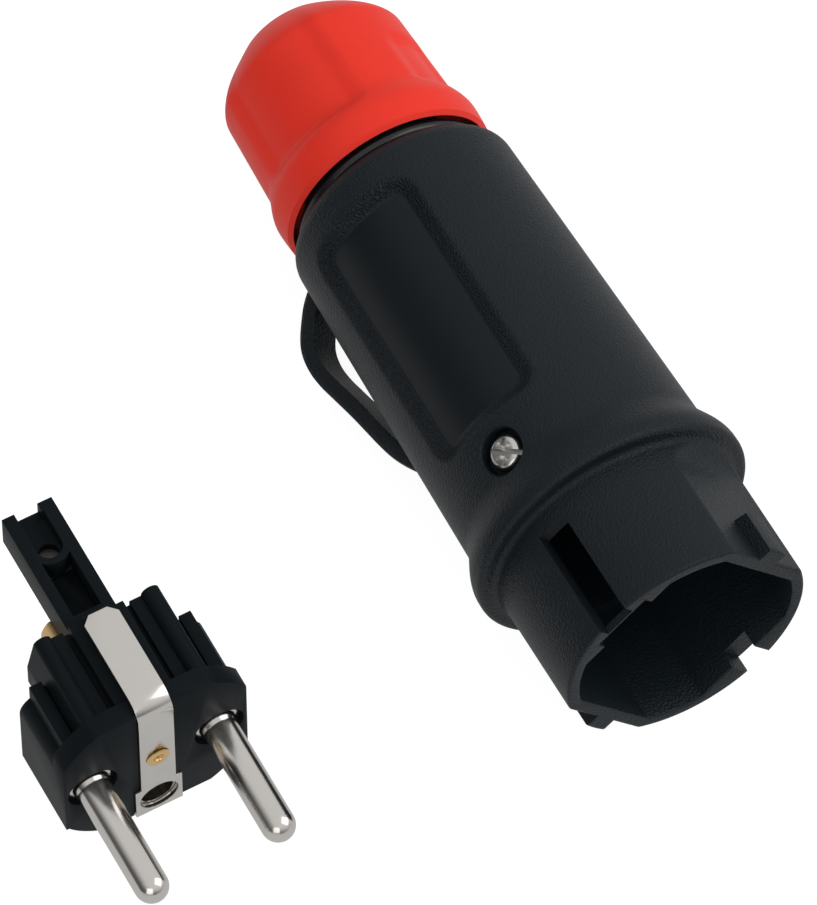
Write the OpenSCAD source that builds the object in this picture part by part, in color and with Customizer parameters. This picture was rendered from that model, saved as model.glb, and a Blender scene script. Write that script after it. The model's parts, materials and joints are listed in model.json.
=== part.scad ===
// Earthed rubber power plug, taken apart: a hollow rubber housing with a screw gland lies on its side,
// and the contact insert that belongs in its mouth lies beside it.
// Housing pieces are drawn with X along the plug's axis, x = 0 at the mouth and the rear negative, and
// +Z towards the fixing screw. Insert pieces have x = 0 at the pin face and z = 0 on the line of the pins.

/* [Sleeve] */
// Outside diameter of the front sleeve
sleeve_d = 36; // [35.5:0.1:37]
// Width across the two outer flats of the sleeve
sleeve_flat_w = 32; // [31.6:0.1:33]
// Inside diameter of the round corners of the mouth
mouth_d = 32.2; // [31.8:0.1:32.4]
// Inside width of the mouth across the pins
mouth_w = 28; // [27.6:0.1:28.2]
// Inside height of the mouth
mouth_h = 27.8; // [27.4:0.1:28]
// Depth of the shaped mouth
mouth_depth = 18.2; // [17.6:0.1:18.6]
// Width of each guide rib on the outer flats
guide_rib_w = 4; // [3:0.1:5]
// Length of each guide rib
guide_rib_len = 6.8; // [5:0.1:8]
// Width of the window over the earth strip
window_w = 4.7; // [4:0.1:5.4]
// Length of the window from the rim
window_len = 16.8; // [14:0.1:17.4]
// Width of the notch in the rim under the strip's tongue
notch_w = 4.3; // [3.6:0.1:5]
// Depth of the rim notch
notch_depth = 2.7; // [1.5:0.1:3.5]

/* [Housing] */
// Diameter of the collar
collar_d = 41; // [39.8:0.1:42]
// Distance of the collar's front face from the mouth
collar_x = 19.8; // [19.4:0.1:21]
// Length of the collar's full diameter
collar_land = 1.6; // [1:0.1:2.4]
// Length of the curved slope behind the collar
collar_slope = 6.8; // [5:0.1:7.4]
// Body diameter where it leaves the collar
body_front_d = 36.6; // [36.2:0.1:37.4]
// Body diameter at the rear shoulder
body_rear_d = 33.8; // [33:0.1:34.6]
// Distance from the mouth to the rear end of the body
body_len = 81; // [80:0.5:88]
// Radius of the rear shoulder
shoulder_r = 3; // [2:0.1:3.4]
// Diameter of the wiring chamber
chamber_d = 28.6; // [27.6:0.1:29]
// Wall between the wiring chamber and the rear end
rear_wall = 5; // [4:0.5:7]

/* [Grip panel] */
// Distance from the mouth to the front edge of the panel
panel_x = 36.2; // [35.6:0.1:38]
// Length of the panel at the surface
panel_len = 38.6; // [34:0.1:39.4]
// Half of the angle that the panel's floor covers
panel_half_angle = 28; // [24:0.5:30]
// Depth of the panel floor
panel_depth = 1.1; // [0.6:0.05:1.4]
// Width of the sloping border
panel_border = 1.7; // [1:0.1:2.4]

/* [Hang loop] */
// Distance from the axis to the outside of the loop
loop_r = 23.7; // [23.4:0.1:25]
// Thickness of the strap
loop_t = 2.4; // [2:0.1:2.6]
// Width of the strap
loop_w = 6; // [5:0.1:7]
// Distance from the top of the loop to the rear end of the body
loop_back = 11.2; // [10.6:0.1:12]

/* [Neck and gland] */
// Diameter of the plain seat that carries the O-ring
seat_d = 25.4; // [24.6:0.1:25.8]
// Length of the plain seat
seat_len = 3.5; // [3:0.1:3.6]
// Crest diameter of the neck thread
thread_d = 21.6; // [21:0.1:21.8]
// Length of the neck behind the body
neck_len = 17; // [16.8:0.1:17.6]
// Bore of the neck
neck_bore_d = 17; // [16.8:0.1:17.4]
// Section diameter of the O-ring
oring_section = 1.9; // [1.6:0.05:2]
// Bore of the rubber seal that grips the cord
cord_bore_d = 10.4; // [8:0.1:11]
// Length of the rubber seal
seal_len = 11.8; // [11:0.1:12.2]
// Wall of the clamp basket
basket_wall = 1.1; // [0.9:0.05:1.2]
// Height of the clamp basket's fingers
finger_len = 3.6; // [3:0.1:4]
// Number of fingers
finger_count = 8; // [6:1:10]
// Thickness of the slip ring
slip_t = 1.4; // [1:0.1:1.6]

/* [Cap nut] */
// Diameter of the skirt bead
skirt_d = 32; // [31.8:0.1:32.6]
// Diameter of the barrel behind the skirt
barrel_d = 29; // [28.4:0.1:29.4]
// Diameter of the barrel at the rear
barrel_rear_d = 28; // [27.4:0.1:28.6]
// Length of the cap nut
nut_len = 28.6; // [28.4:0.1:30]
// Gap between the skirt's rim and the end of the body
nut_gap = 1.6; // [1.5:0.1:1.8]
// Radius of curvature of a grip face
grip_face_r = 17.6; // [17:0.1:18.4]
// Distance from the axis to the middle of a grip face
grip_flat = 13; // [12.8:0.05:13.4]
// Number of grip faces
grip_count = 3; // [3:1:4]
// Diameter of the cord hole
cord_hole_d = 14; // [13:0.1:15]

/* [Fixing screw] */
// Distance of the screw from the mouth
screw_x = 30.3; // [29.6:0.1:30.8]
// Diameter of the screw
screw_d = 2.9; // [2.5:0.1:3]
// Diameter of its pan head
screw_head_d = 5.8; // [5:0.1:6]
// Height of the head
screw_head_h = 1.9; // [1.5:0.1:2.2]
// Length under the head
screw_len = 12; // [10:0.5:13]
// Depth of the head's seat below the surface
screw_seat_depth = 2.4; // [2:0.1:2.6]

/* [Contact insert] */
// Distance between the two live pins
pin_pitch = 19; // [18.8:0.1:19.2]
// Diameter of a live pin
pin_d = 4.8; // [4.7:0.02:4.86]
// Length of a live pin from the face
pin_len = 19; // [18.5:0.1:19.5]
// Clearance between the insert and the mouth
insert_fit = 0.3; // [0.2:0.05:0.4]
// Thickness of the face plate
face_t = 3; // [2.6:0.1:3.4]
// Length of the ribbed core from the face
core_len = 16.7; // [16.4:0.1:17]
// Length of the side blocks from the face
block_len = 12.8; // [12:0.1:14]
// Length of the tail behind the fixing screw
tail_past_screw = 6.4; // [5.8:0.1:7]
// Width of the tail
tail_w = 7.5; // [7:0.1:8]
// Height of the top of the tail over the line of the pins
tail_top = 10; // [9.6:0.1:10.1]
// Height of the tail
tail_h = 6; // [5.4:0.1:6.2]

/* [Earth contacts] */
// Width of the earth strip
strip_w = 5.2; // [4.8:0.1:5.6]
// Thickness of the earth strip
strip_t = 0.8; // [0.6:0.05:1]
// Height of the strip's outer face over the line of the pins
strip_z = 15; // [14.8:0.05:15.1]
// Outside radius of the strip's bend
strip_bend_r = 3; // [2.4:0.1:3.4]
// Length of the strip's upper leg from the face
strip_len = 16; // [14:0.1:16.4]
// Width of the tab round the earth hole
tab_w = 7; // [6.6:0.1:7.4]
// Distance of the earth hole below the line of the pins
earth_drop = 10; // [9.8:0.1:10.2]
// Bore of the earth socket
earth_bore_d = 4.95; // [4.9:0.01:5]
// Diameter of the rivet
rivet_d = 2.4; // [2:0.1:2.6]

/* [Layout] */
// Roll of the housing about its axis
housing_roll = 38; // [30:1:38]
// Turn of the cap nut's grip faces against the housing
nut_turn = 9; // [-20:1:20]
// Distance of the pin face behind the mouth
insert_back = 22.1; // [15:0.1:30]
// Distance of the insert's middle from the housing's axis
insert_side = 68.2; // [60:0.1:80]

/* [Hidden] */
$fn = 96;
eps = 0.01;
// Running gap between pieces that turn or slide on each other
gap = 0.3;
// Slack between pieces that are fitted together and stay put
slack = 0.05;

sleeve_r = sleeve_d / 2;
collar_r = collar_d / 2;
body_front_r = body_front_d / 2;
body_rear_r = body_rear_d / 2;
body_front_x = collar_x + collar_land + collar_slope;
chamber_r = chamber_d / 2;
chamber_end = body_len - rear_wall;
neck_end = body_len + neck_len;
loop_x = body_len - loop_back;
loop_reach = 24;
// Body radius at a distance behind the mouth
function body_r(x) = body_front_r
    + (body_rear_r - body_front_r) * (x - body_front_x) / (body_len - shoulder_r - body_front_x);

// Strip recess in the roof of the mouth
strip_room_w = 9;
strip_room_z = strip_z + 0.4;
// Bridge of rim left in front of the window
window_bridge_t = 0.5;
window_bridge_len = 1.1;

nut_front = body_len + nut_gap;
nut_rear = nut_front + nut_len;
skirt_r = skirt_d / 2;
barrel_r = barrel_d / 2;
barrel_rear_r = barrel_rear_d / 2;
bead_len = 5.2;
dome_len = 7.4;
dome_power = 1.9;
waist_len = 8.4;
grip_front_len = 11.5;
grip_rise = 0.42;
waist_x = nut_front + waist_len;
dome_x = nut_rear - dome_len;
grip_x = nut_front + grip_front_len;
skirt_bore_r = skirt_r - 1;
skirt_bore_end = body_len + seat_len + gap + nut_gap - 0.2;
nut_bore_r = thread_d / 2 + gap;
basket_flange_t = 1.5;
basket_front = neck_end - 6;
flange_end = neck_end + slack + basket_flange_t;
finger_end = flange_end + finger_len;
seal_front = neck_end - 6.5;
seal_end = seal_front + seal_len;
slip_front = max(seal_end, finger_end) + nut_gap + 0.1;
slip_end = slip_front + slip_t;
basket_r = neck_bore_d / 2 - slack;
basket_bore_r = basket_r - basket_wall;
seal_r = basket_bore_r - slack;

seat_z = body_r(screw_x) - screw_seat_depth;
boss_bottom = tail_top + 0.4;
boss_r = 3.4;

insert_w = mouth_w - 2 * insert_fit;
insert_h = mouth_h - 2 * insert_fit;
core_top = insert_h / 2;
ridge_w = 3.8;
pedestal_w = 8.2;
pedestal_drop = 0.5;
groove_w = 0.9;
groove_drop = 2.6;
ledge_drop = 1.5;
rib_inner_w = 13.5;
rib_outer_w = 18.8;
rib_drop = 0.1;
rib_foot_drop = 6.2;
side_rib_y = 10.3;
side_rib_w = 1.8;
side_rib_top = 9.6;
block_top = 7;
block_bottom = -8.5;
block_corner_r = 3.4;
foot_w = 15.6;
foot_slot_w = 4;
strip_front = 0.5;
strip_recess = strip_t - strip_front;
tab_top = -6.8;
rivet_z = 1;
pin_r = pin_d / 2;
pin_y = pin_pitch / 2;
collar_pin_r = 3.1;
pin_recess_d = 7.4;
pin_recess_depth = 1;
shank_r = 1.9;
shank_grip = 2.3;
terminal_front = 7;
terminal_len = 5.6;
terminal_w = 5.8;
terminal_h = 6.4;
terminal_screw_d = 2.5;
terminal_screw_x = terminal_front + terminal_len - 1.9;
tail_end = screw_x + tail_past_screw;
tail_bottom = tail_top - tail_h;
trough_w = tail_w - 3.3;
earth_block_y = -5.2;
earth_block_w = 8.6;
earth_block_len = 6.4;
earth_block_h = 6;
earth_block_z = tail_bottom - 0.3 - earth_block_h;
earth_screw_x = core_len + 4.4;
socket_wall = 0.9;
socket_r = earth_bore_d / 2 + socket_wall;
socket_len = 12;
socket_hole_d = earth_bore_d + 0.8;
spring_t = 0.6;
spring_x = 10.4;

// Resting pose: the collar and the skirt bead both touch the ground
bead_x = nut_front + bead_len - 1.4;
collar_back = collar_x + collar_land;
tilt = atan((collar_r - skirt_r) / (bead_x - collar_back));
axis_z = collar_back * sin(tilt) + collar_r * cos(tilt);
end_r = cord_hole_d / 2 + 0.9;
x_high = sleeve_r * sin(tilt);
x_low = -nut_rear * cos(tilt) - end_r * sin(tilt);
mid_x = (x_high + x_low) / 2;
mid_y = (collar_r - insert_side - insert_w / 2) / 2;

module place_housing() {
    translate([-mid_x, -mid_y, axis_z]) rotate([0, -tilt, 0]) rotate([housing_roll, 0, 0]) children();
}

module place_insert() {
    translate([-mid_x - insert_back, -mid_y - insert_side, insert_h / 2]) children();
}

// Turns a profile drawn as (radius, distance behind the mouth) about the plug's axis
module revolve() {
    rotate([0, -90, 0]) rotate_extrude() children();
}

// Round bar along the axis between two distances behind the mouth
module bar(r, from, to) {
    translate([-to, 0, 0]) rotate([0, 90, 0]) cylinder(r = r, h = to - from);
}

// Extrudes an outline of (y, z) along the axis between two distances behind the front
module along(from, to) {
    translate([-to, 0, 0]) rotate([90, 0, 90]) linear_extrude(to - from) children();
}

function arc(cx, cy, r, a0, a1, steps) =
    [for (i = [0:steps]) let (a = a0 + (a1 - a0) * i / steps) [cx + r * cos(a), cy + r * sin(a)]];

// Housing
function collar_curve(steps) = [for (i = [0:steps]) let (t = i / steps)
    [body_front_r + (collar_r - body_front_r) * (1 + cos(180 * t)) / 2, collar_back + collar_slope * t]];

module housing_profile() {
    edge = 0.9;
    polygon(concat(
        [[0, 0], [sleeve_r - 0.4, 0], [sleeve_r, 0.4]],
        arc(sleeve_r + edge, collar_x - edge, edge, 180, 90, 5),
        arc(collar_r - edge, collar_x + edge, edge, -90, 0, 5),
        collar_curve(12),
        arc(body_rear_r - shoulder_r, body_len - shoulder_r, shoulder_r, 0, 90, 8),
        [[seat_d / 2, body_len], [seat_d / 2, body_len + seat_len],
         [thread_d / 2, body_len + seat_len], [thread_d / 2, neck_end - 0.6],
         [thread_d / 2 - 0.6, neck_end], [0, neck_end]]));
}

module mouth_outline(grow = 0) {
    intersection() {
        circle(r = mouth_d / 2 - insert_fit + grow);
        square([mouth_w - 2 * insert_fit + 2 * grow, mouth_h - 2 * insert_fit + 2 * grow], center = true);
    }
}

module outer_flats() {
    ramp_r = 4;
    deep = sleeve_r - sleeve_flat_w / 2;
    for (side = [0, 180]) rotate([side, 0, 0]) difference() {
        union() {
            translate([-collar_x + ramp_r, sleeve_flat_w / 2, -sleeve_r])
                cube([collar_x, sleeve_r, sleeve_d]);
            translate([-collar_x + ramp_r, sleeve_flat_w / 2 + ramp_r, -sleeve_r])
                cylinder(r = ramp_r, h = sleeve_d);
        }
        translate([-guide_rib_len, 0, -guide_rib_w / 2])
            cube([guide_rib_len + 1, sleeve_d, guide_rib_w]);
        translate([-2 * collar_x + deep / 2, 0, -sleeve_d]) cube([collar_x, sleeve_d, 2 * sleeve_d]);
    }
}

module earth_window() {
    translate([-window_len, -window_w / 2, 0]) cube([window_len - window_bridge_len, window_w, sleeve_d]);
    translate([-window_bridge_len - eps, -window_w / 2, strip_room_z + window_bridge_t])
        cube([window_bridge_len + 1, window_w, sleeve_d]);
}

// Tapered plug with round corners, above a cone that lies below the body's surface
module panel_cutter() {
    corner = 2.6;
    half_w = body_r(panel_x) * sin(panel_half_angle);
    foot_z = body_r(panel_x) * cos(panel_half_angle) - panel_depth;
    height = body_front_r + 1 - foot_z;
    top_corner = corner + height * panel_border / panel_depth;
    floor_x = panel_x - 5;
    difference() {
        hull() for (x = [panel_x + panel_border + corner, panel_x + panel_len - panel_border - corner],
                    y = [corner - half_w, half_w - corner])
            translate([-x, y, foot_z]) cylinder(r1 = corner, r2 = top_corner, h = height, $fn = 32);
        revolve() polygon([[0, floor_x], [body_r(floor_x) - panel_depth, floor_x],
            [body_r(body_len) - panel_depth, body_len], [0, body_len]]);
    }
}

// Hang loop, drawn as distance behind the mouth against distance from the axis
module loop_outline(inset) {
    top_r = 5.5;
    front_lean = 107;
    rear_lean = 52;
    root = body_rear_r - 1.6;
    bend = arc(loop_x, loop_r - top_r, top_r - inset, front_lean, rear_lean, 8);
    front = bend[0];
    polygon(concat([[loop_x - loop_reach + 6 * inset, root],
                    [loop_x - loop_reach + 6 * inset, body_r(loop_x) - 0.3 - inset / 4],
                    [front[0] - 11 + inset / 2, front[1] - 1.9 - inset / 4]], bend,
                   [[body_len - 2.4 - inset, body_rear_r + 1.9 - inset / 2],
                    [body_len - 1 - inset, body_rear_r - 0.3],
                    [body_len - 1 - inset, root]]));
}

module hang_loop() {
    edge = 1;
    rotate([0, 0, 180]) rotate([90, 0, 0]) translate([0, 0, -loop_w / 2]) difference() {
        linear_extrude(loop_w) loop_outline(0);
        translate([0, 0, -1]) linear_extrude(loop_w + 2) loop_outline(loop_t);
        for (z = [-eps, loop_w + eps - edge]) translate([0, 0, z]) linear_extrude(edge) difference() {
            translate([loop_x - loop_reach - edge, body_rear_r + 1]) square([2 * loop_reach, loop_r]);
            loop_outline(edge);
        }
    }
}

module housing() {
    color([0.13, 0.16, 0.18]) place_housing() difference() {
        union() {
            difference() {
                union() {
                    revolve() housing_profile();
                    rotate([90, 0, 0]) hang_loop();
                }
                along(-1, mouth_depth) mouth_outline(insert_fit);
                along(-1, mouth_depth) translate([-strip_room_w / 2, 0])
                    square([strip_room_w, strip_room_z]);
                bar(chamber_r, mouth_depth - eps, chamber_end);
                earth_window();
                translate([-notch_depth, -notch_w / 2, -sleeve_d])
                    cube([notch_depth + 1, notch_w, sleeve_d]);
                outer_flats();
                panel_cutter();
                bar(neck_bore_d / 2 - 2, chamber_end - 1, neck_end);
                bar(neck_bore_d / 2, seal_front, neck_end + 1);
            }
            translate([-screw_x, 0, boss_bottom]) cylinder(r = boss_r, h = seat_z - boss_bottom - eps);
        }
        translate([-screw_x, 0, boss_bottom - 1]) cylinder(r = screw_d / 2 + slack, h = sleeve_d);
        translate([-screw_x, 0, seat_z]) cylinder(r = screw_head_d / 2 + 0.8, h = sleeve_d);
    }
}

// Pan head screw that stands along Z with its head's underside at z = 0
module pan_screw(d, length, head_d, head_h) {
    crown_r = head_h * 0.7;
    point = 0.4;
    rotate_extrude() polygon(concat([[0, -length], [d / 2 - point, -length], [d / 2, point - length],
        [d / 2, 0], [head_d / 2, 0]], arc(head_d / 2 - crown_r, head_h - crown_r, crown_r, 0, 90, 6),
        [[0, head_h]]));
}

// Cross recess with one long slot
module drive_recess(size, depth) {
    for (cut = [[size, 0], [size * 0.62, 90], [size * 0.5, 45], [size * 0.5, 135]]) rotate([0, 0, cut[1]])
        translate([-cut[0] / 2, -size * 0.09, -depth]) cube([cut[0], size * 0.18, depth + 1]);
}

module housing_screw() {
    color([0.78, 0.78, 0.76]) place_housing() translate([-screw_x, 0, seat_z]) difference() {
        pan_screw(screw_d, screw_len, screw_head_d, screw_head_h);
        translate([0, 0, screw_head_h]) rotate([0, 0, 20]) drive_recess(4, 1.1);
    }
}

// Gland
module neck_o_ring() {
    color([0.05, 0.05, 0.05]) place_housing() revolve()
        translate([seat_d / 2 + oring_section / 2, body_len + oring_section / 2]) circle(d = oring_section);
}

module clamp_basket() {
    finger_gap = 1.2;
    root_r = basket_r + 0.9;
    color([0.16, 0.17, 0.18]) place_housing() difference() {
        revolve() polygon([[basket_bore_r, basket_front], [basket_r, basket_front],
            [basket_r, neck_end + slack], [thread_d / 2 - 0.2, neck_end + slack],
            [thread_d / 2 - 0.2, flange_end], [root_r, flange_end],
            [basket_bore_r + basket_wall, finger_end], [basket_bore_r, finger_end]]);
        for (i = [0:finger_count - 1]) rotate([i * 360 / finger_count, 0, 0])
            translate([-finger_end - 1, -finger_gap / 2, 0])
                cube([finger_len + 1 + eps, finger_gap, thread_d]);
    }
}

module gland_seal() {
    chamfer = 0.8;
    color([0.1, 0.1, 0.1]) place_housing() revolve() polygon([[cord_bore_d / 2 + chamfer, seal_front],
        [seal_r, seal_front], [seal_r, seal_end - chamfer], [seal_r - chamfer, seal_end],
        [cord_bore_d / 2 + chamfer, seal_end], [cord_bore_d / 2, seal_end - chamfer],
        [cord_bore_d / 2, seal_front + chamfer]]);
}

module slip_ring() {
    color([0.8, 0.8, 0.78]) place_housing() revolve() polygon([[cord_hole_d / 2 + 0.9, slip_front],
        [nut_bore_r - gap, slip_front], [nut_bore_r - gap, slip_end], [cord_hole_d / 2 + 0.2, slip_end],
        [cord_hole_d / 2 + 0.2, slip_front + 0.7]]);
}

// Stations of the cap nut's skin, as pairs of distance behind the mouth and radius
function nut_stations() = concat(
    [[nut_front, skirt_r - 0.7], [nut_front + 0.5, skirt_r - 0.25], [nut_front + 1.6, skirt_r - 0.08]],
    [for (i = [0:6]) let (t = i / 6)
        [bead_x + (waist_x - bead_x) * t, barrel_r + (skirt_r - barrel_r) * (1 + cos(180 * t)) / 2]],
    [for (i = [1:4]) let (t = i / 4)
        [waist_x + (dome_x - waist_x) * t, barrel_r + (barrel_rear_r - barrel_r) * min(1, 2 * t)]],
    [for (i = [1:8]) let (t = i / 8)
        [dome_x + dome_len * t, end_r + (barrel_rear_r - end_r) * (1 - pow(t, dome_power))]]);

// Distance from the axis to a grip face at a station, by the angle from the middle of the face
function grip_r(x, a) = let (flat = grip_flat + grip_rise * max(0, grip_x - x), c = grip_face_r - flat)
    sqrt(pow(grip_face_r, 2) - pow(c * sin(a), 2)) - c * cos(a);

// Skin of the cap nut: round stations with broad faces that lean in towards the dome
module cap_nut_skin() {
    n = 72;
    face = 360 / grip_count;
    stations = nut_stations();
    rows = len(stations);
    points = [for (s = stations, i = [0:n - 1]) let (a = 360 * i / n, from_face = a - face * round(a / face),
            r = min(s[1], grip_r(max(s[0], bead_x), from_face)))
        [-s[0], r * sin(a), r * cos(a)]];
    polyhedron(points, concat([[for (i = [0:n - 1]) i]], [[for (i = [0:n - 1]) rows * n - 1 - i]],
        [for (row = [0:rows - 2], i = [0:n - 1]) let (j = (i + 1) % n)
            [row * n + i, row * n + n + i, row * n + n + j]],
        [for (row = [0:rows - 2], i = [0:n - 1]) let (j = (i + 1) % n)
            [row * n + i, row * n + n + j, row * n + j]]));
}

module cap_nut() {
    shoulder = slip_end + gap / 2;
    color([0.86, 0.22, 0.17]) place_housing() rotate([nut_turn, 0, 0]) difference() {
        cap_nut_skin();
        bar(skirt_bore_r, nut_front - 1, skirt_bore_end);
        bar(nut_bore_r, nut_front, shoulder);
        bar(cord_hole_d / 2, nut_front, nut_rear + 1);
    }
}

// Contact insert
// Right half of the core's outline above its foot, as (y, z)
function core_half() = let (ped = pedestal_w / 2, inner = rib_inner_w / 2, outer = rib_outer_w / 2,
        rib_r = (rib_outer_w - rib_inner_w) / 4)
    concat([[0, core_top - pedestal_drop], [ped, core_top - pedestal_drop], [ped, core_top - groove_drop],
        [ped + groove_w, core_top - groove_drop], [ped + groove_w, core_top - ledge_drop],
        [inner, core_top - ledge_drop]],
        arc(inner + rib_r, core_top - rib_drop - rib_r, rib_r, 180, 0, 10),
        [[outer + 1, core_top - rib_foot_drop], [outer + 1, block_bottom], [foot_w / 2, block_bottom],
        [foot_w / 2, -insert_h / 2], [0, -insert_h / 2]]);

module core_outline() {
    for (s = [-1, 1]) scale([s, 1]) polygon(core_half());
}

module side_blocks() {
    corner_y = insert_w / 2 - block_corner_r;
    for (s = [-1, 1]) scale([1, s, 1]) {
        along(0, block_len) polygon(concat([[0, block_bottom], [insert_w / 2, block_bottom]],
            arc(corner_y, block_top - block_corner_r, block_corner_r, 0, 90, 8), [[0, block_top]]));
        along(0, block_len) translate([side_rib_y, 0]) square([side_rib_w, side_rib_top]);
    }
}

module tail() {
    pocket_r = 2.9;
    pocket_bore_r = 1.9;
    channel_floor = tail_top - 4.4;
    pocket_floor = tail_top - 2.4;
    difference() {
        union() {
            difference() {
                translate([-tail_end, -tail_w / 2, tail_bottom])
                    cube([tail_end - core_len + 1, tail_w, tail_h]);
                translate([-tail_end - 1, -trough_w / 2, channel_floor])
                    cube([tail_end - core_len - 1.5, trough_w, tail_h]);
            }
            translate([-screw_x, 0, tail_bottom + 1]) cylinder(r = pocket_r, h = tail_h - 1);
            translate([-tail_end, -trough_w / 2 - eps, tail_bottom + 1])
                cube([tail_end - screw_x, trough_w + 2 * eps, tail_h - 1]);
        }
        translate([-screw_x, 0, pocket_floor]) cylinder(r = pocket_bore_r, h = tail_h);
        translate([-tail_end + 1.4, -pocket_bore_r, pocket_floor])
            cube([tail_end - screw_x - 1.4, 2 * pocket_bore_r, tail_h]);
        translate([-tail_end - 1, -1.8, tail_top - 0.7]) cube([3, 3, 1]);
        translate([-screw_x, 0, 0]) cylinder(r = screw_d / 2 + slack, h = tail_top);
        tail_nut_shape(slack);
    }
}

module tail_nut_shape(grow) {
    nut_w = 5.5;
    nut_h = 2.2;
    translate([-screw_x - nut_w / 2 - grow, -nut_w / 2 - grow, tail_bottom - (grow > 0 ? 1 : 0)])
        cube([nut_w + 2 * grow, nut_w + 2 * grow, nut_h + (grow > 0 ? 1 + grow : 0)]);
}

// Strip bent from one band: upper leg, bend and front leg, drawn as (x, z)
module strip_outline(grow) {
    rear = -strip_len - grow;
    low = slack - insert_h / 2 - grow;
    bend_x = strip_front - strip_bend_r;
    bend_z = strip_z - strip_bend_r;
    polygon(concat([[rear, strip_z + grow]], arc(bend_x, bend_z, strip_bend_r + grow, 90, 0, 8),
        [[strip_front + grow, low], [strip_front - strip_t, low]],
        arc(bend_x, bend_z, strip_bend_r - strip_t, 0, 90, 8), [[rear, strip_z - strip_t]]));
}

module strip_shape(grow) {
    width = strip_w + 2 * grow;
    tab = tab_w + 2 * grow;
    rotate([90, 0, 0]) {
        translate([0, 0, -width / 2]) linear_extrude(width) strip_outline(grow);
        translate([0, 0, -tab / 2]) linear_extrude(tab) intersection() {
            strip_outline(grow);
            translate([-strip_len, tab_top - insert_h]) square([2 * strip_len, insert_h]);
        }
    }
}

module earth_strip() {
    chamfer = 1.2;
    color([0.8, 0.79, 0.76]) place_insert() difference() {
        strip_shape(0);
        for (s = [-1, 1]) translate([-strip_len, s * strip_w / 2, strip_z - 2]) rotate([0, 0, 45])
            translate([-chamfer, -chamfer, 0] / sqrt(2)) cube([chamfer * sqrt(2), chamfer * sqrt(2), 4]);
        translate([-strip_t - 2, 0, -earth_drop]) rotate([0, 90, 0])
            cylinder(d = socket_hole_d, h = strip_t + 4);
        translate([-strip_t - 2, 0, rivet_z]) rotate([0, 90, 0])
            cylinder(d = rivet_d + 2 * slack, h = strip_t + 4);
    }
}

module insert_carrier() {
    color([0.12, 0.14, 0.16]) place_insert() difference() {
        union() {
            along(0, face_t) mouth_outline(0);
            along(0, core_len) core_outline();
            along(strip_bend_r, core_len) translate([-ridge_w / 2, 0])
                square([ridge_w, strip_z - strip_t - slack]);
            side_blocks();
            tail();
        }
        strip_shape(slack);
        for (s = [-1, 1]) translate([0, s * pin_y, 0]) {
            bar(pin_recess_d / 2, -1, pin_recess_depth);
            bar(shank_r + slack, 0, terminal_front + 1);
            translate([-core_len - 1, -terminal_w / 2 - slack, -terminal_h / 2 - slack])
                cube([core_len + 1 - terminal_front + slack, terminal_w + 2 * slack,
                      terminal_h + 2 * slack]);
            translate([-terminal_screw_x, 0, block_bottom - eps])
                cylinder(d = terminal_screw_d + 0.6, h = -block_bottom);
        }
        translate([0, 0, -earth_drop]) {
            bar(socket_r + slack, -1, socket_len + 1);
            bar(socket_r + spring_t + gap, spring_x - spring_t, spring_x + spring_t);
        }
        translate([-socket_len - 1, -foot_slot_w / 2, -insert_h])
            cube([socket_len + 2, foot_slot_w, insert_h - earth_drop]);
        translate([0, 0, rivet_z]) bar(rivet_d / 2 + slack, -1, core_len + 1);
    }
}

module pin() {
    shank_end = terminal_front + shank_grip;
    rotate([0, 90, 0]) rotate_extrude() polygon(concat([[0, -shank_end], [shank_r, -shank_end],
        [shank_r, -pin_recess_depth], [collar_pin_r, -pin_recess_depth], [collar_pin_r, -0.2], [pin_r, 0]],
        arc(0, pin_len - pin_r, pin_r, 0, 90, 12)));
}

module pin_left() { color([0.75, 0.73, 0.7]) place_insert() translate([0, -pin_y, 0]) pin(); }

module pin_right() { color([0.75, 0.73, 0.7]) place_insert() translate([0, pin_y, 0]) pin(); }

// Brass block with the pin's shank in its front, a wire hole in its rear and a screw from below
module terminal() {
    wire_d = 3;
    difference() {
        translate([-terminal_front - terminal_len, -terminal_w / 2, -terminal_h / 2])
            cube([terminal_len, terminal_w, terminal_h]);
        bar(shank_r, terminal_front - 1, terminal_front + shank_grip);
        bar(wire_d / 2, terminal_front + shank_grip + gap, terminal_front + terminal_len + 1);
        translate([-terminal_screw_x, 0, -terminal_h]) cylinder(d = terminal_screw_d, h = terminal_h);
    }
}

module terminal_left() { color("goldenrod") place_insert() translate([0, -pin_y, 0]) terminal(); }

module terminal_right() { color("goldenrod") place_insert() translate([0, pin_y, 0]) terminal(); }

module set_screw(length) {
    difference() {
        cylinder(d = terminal_screw_d, h = length);
        translate([-terminal_screw_d, -0.25, length - 0.7]) cube([2 * terminal_screw_d, 0.5, 1]);
    }
}

module terminal_screws() {
    reach = 1;
    color("silver") place_insert() for (y = [-pin_y, pin_y])
        translate([-terminal_screw_x, y, -reach]) rotate([180, 0, 0]) set_screw(terminal_h / 2 - reach);
}

module earth_rivet() {
    color("goldenrod") place_insert() translate([0, 0, rivet_z]) difference() {
        union() {
            bar(rivet_d / 2, -strip_front, core_len + 2);
            bar(rivet_d / 2 + 0.5, -strip_front - 0.35, -strip_front);
        }
        bar(rivet_d / 4, -strip_front - 1, 2);
    }
}

module earth_socket() {
    slot_from = 7;
    color([0.78, 0.76, 0.72]) place_insert() translate([0, 0, -earth_drop]) difference() {
        bar(socket_r, strip_recess + slack, socket_len);
        bar(earth_bore_d / 2, -1, socket_len + 1);
        for (a = [40, 160, 280]) rotate([a, 0, 0]) translate([-socket_len - 1, -0.3, 0])
            cube([socket_len + 1 - slot_from, 0.6, socket_r + 1]);
    }
}

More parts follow.
